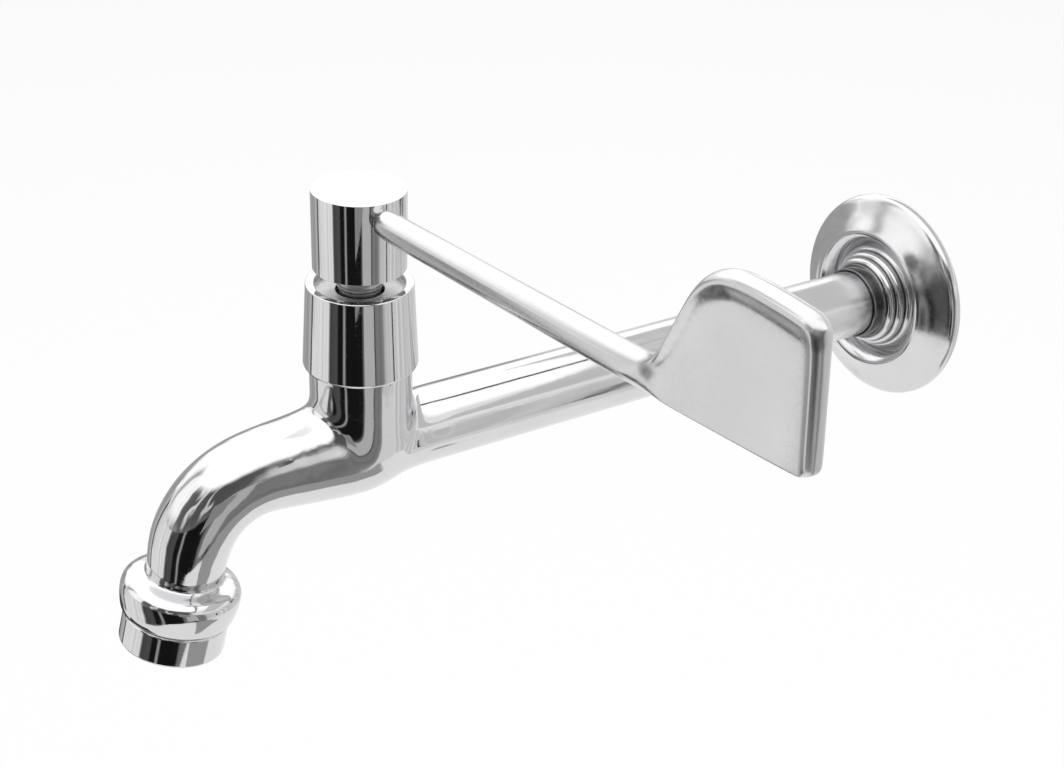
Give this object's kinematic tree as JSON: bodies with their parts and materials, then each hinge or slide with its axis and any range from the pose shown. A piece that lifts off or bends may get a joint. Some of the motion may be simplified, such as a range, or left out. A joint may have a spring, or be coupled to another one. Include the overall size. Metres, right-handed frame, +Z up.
{
  "type": "elbow lever tap",
  "caption": "Wall-mounted chrome tap with a long straight arm, stepped wall flange, bent cast spout with aerator and a quarter-turn elbow lever ending in an upright paddle.",
  "frame": {"origin": "where the arm's axis meets the finished wall, at the front end of the inlet thread", "axes": "+Y into the wall along the inlet thread, -Y towards the user along the arm, +Z up, +X towards the lever's paddle in the open position"},
  "size_m": [0.2075, 0.2897, 0.1658],
  "materials": {
    "chrome": "polished chrome plate on brass",
    "brass": "turned",
    "nickel": "dull nickel plate on turned brass",
    "rubber": "moulded",
    "ceramic": "lapped ceramic",
    "stainless": "plain",
    "white_plastic": "moulded"
  },
  "bodies": {
    "tap": {"tap_body": "chrome", "wall_flange": "chrome", "flange_grip_ring": "rubber", "bonnet": "chrome", "headwork_body": "nickel", "headwork_gasket": "rubber", "seat_seal": "rubber", "seat_seal_ring": "stainless", "fixed_disc": "ceramic", "aerator_casing": "chrome", "aerator_washer": "rubber", "aerator_insert": "white_plastic", "aerator_screen": "stainless", "aerator_jet_plate": "white_plastic", "aerator_strainer": "stainless"},
    "handle": {"spindle": "nickel", "spindle_o_rings": "rubber", "slip_washer": "white_plastic", "circlip": "stainless", "moving_disc": "ceramic", "hub": "chrome", "hub_set_screw": "stainless", "lever": "chrome"}
  },
  "joints": [
    {"name": "lever_turn", "type": "hinge", "parent": "tap", "child": "handle", "pos_m": [0, -0.2015, 0.06], "axis": [0, 0, 1], "range_deg": [-90, 0]}
  ]
}
